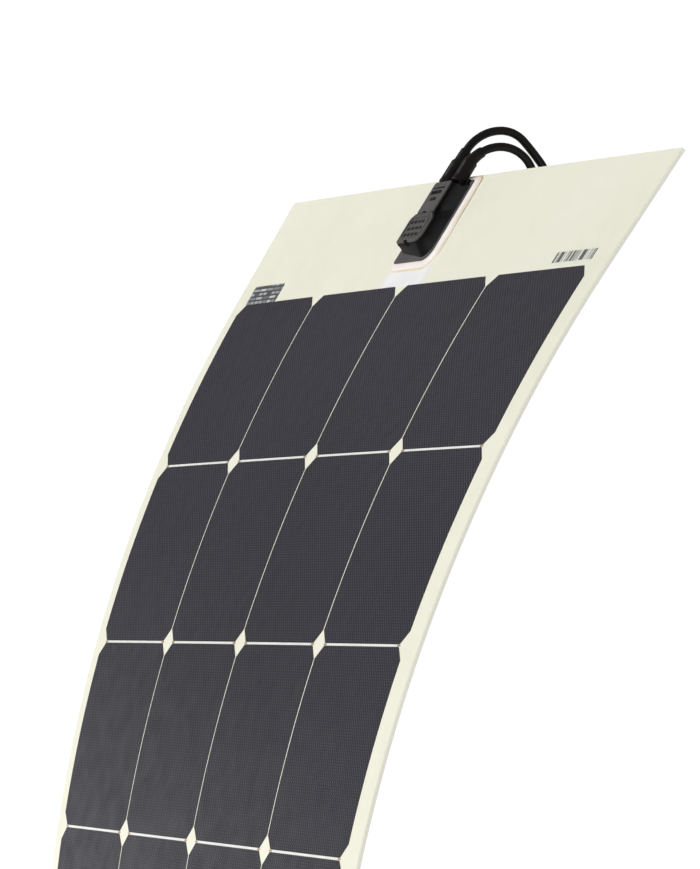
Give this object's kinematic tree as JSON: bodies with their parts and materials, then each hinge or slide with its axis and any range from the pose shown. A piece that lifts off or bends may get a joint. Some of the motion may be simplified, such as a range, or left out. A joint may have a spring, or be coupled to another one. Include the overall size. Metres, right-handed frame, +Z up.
{
  "type": "flexible solar sheet",
  "caption": "Thin bent solar sheet of cut-corner dark cells in cream laminate, with a low junction box and two coiled leads at its header.",
  "frame": {"origin": "on the back of the header, halfway along it and halfway up it, where something holds the sheet", "axes": "+Z up as the sheet hangs; +X along the line that the sheet bends about, to the right when facing the cells; the cells face -Y"},
  "size_m": [0.7022, 0.3078, 1.1071],
  "materials": {
    "back_board": "satin",
    "film": "embossed, satin",
    "silicon": "dark, anti-reflection coated",
    "copper": "tinned",
    "dark_label": "printed",
    "pale_label": "printed",
    "tape": "satin",
    "sealant": "satin",
    "box_plastic": "fine spark-eroded",
    "lid_plastic": "fine spark-eroded",
    "epoxy": "moulded",
    "boot_rubber": "moulded",
    "lead_sheath": "extruded, satin",
    "connector_plastic": "moulded"
  },
  "bodies": {
    "header": {"back_board_header": "back_board", "front_film_header": "film", "bus_ribbon": "copper", "name_label": "dark_label", "bar_label": "pale_label", "bus_cover_tape": "tape", "box_sealant": "sealant", "box_base": "box_plastic", "terminal_cover": "lid_plastic", "diode_cover": "lid_plastic", "bypass_diode": "epoxy", "boot_outer": "boot_rubber", "boot_inner": "boot_rubber", "lead_outer": "lead_sheath", "lead_inner": "lead_sheath", "lead_coil_outer": "lead_sheath", "lead_coil_inner": "lead_sheath", "connector_outer": "connector_plastic", "connector_inner": "connector_plastic"},
    "segment_1": {"back_board_1": "back_board", "front_film_1": "film", "cell_r1c1": "silicon", "cell_r1c2": "silicon", "cell_r1c3": "silicon", "cell_r1c4": "silicon", "cell_r2c1": "silicon", "cell_r2c2": "silicon", "cell_r2c3": "silicon", "cell_r2c4": "silicon"},
    "segment_2": {"back_board_2": "back_board", "front_film_2": "film", "cell_r3c1": "silicon", "cell_r3c2": "silicon", "cell_r3c3": "silicon", "cell_r3c4": "silicon", "cell_r4c1": "silicon", "cell_r4c2": "silicon", "cell_r4c3": "silicon", "cell_r4c4": "silicon"},
    "segment_3": {"back_board_3": "back_board", "front_film_3": "film", "cell_r5c1": "silicon", "cell_r5c2": "silicon", "cell_r5c3": "silicon", "cell_r5c4": "silicon", "cell_r6c1": "silicon", "cell_r6c2": "silicon", "cell_r6c3": "silicon", "cell_r6c4": "silicon"},
    "segment_4": {"back_board_4": "back_board", "front_film_4": "film", "cell_r7c1": "silicon", "cell_r7c2": "silicon", "cell_r7c3": "silicon", "cell_r7c4": "silicon", "cell_r8c1": "silicon", "cell_r8c2": "silicon", "cell_r8c3": "silicon", "cell_r8c4": "silicon"}
  },
  "joints": [
    {"name": "bend_at_header", "type": "hinge", "parent": "header", "child": "segment_1", "pos_m": [0.0063, -0.02568, -0.03278], "axis": [0.9888, 0.0896, 0.1194], "range_deg": [-7.4, 4]},
    {"name": "bend_below_row_2", "type": "hinge", "parent": "segment_1", "child": "segment_2", "pos_m": [0.04452, -0.14899, -0.25201], "axis": [0.9888, 0.0555, 0.1386], "range_deg": [-14.9, 8]},
    {"name": "bend_below_row_4", "type": "hinge", "parent": "segment_2", "child": "segment_3", "pos_m": [0.08274, -0.21114, -0.49575], "axis": [0.9888, 0.0176, 0.1482], "range_deg": [-14.9, 8]},
    {"name": "bend_below_row_6", "type": "hinge", "parent": "segment_3", "child": "segment_4", "pos_m": [0.12096, -0.20785, -0.74727], "axis": [0.9888, -0.0215, 0.1477], "range_deg": [-14.9, 8]}
  ]
}
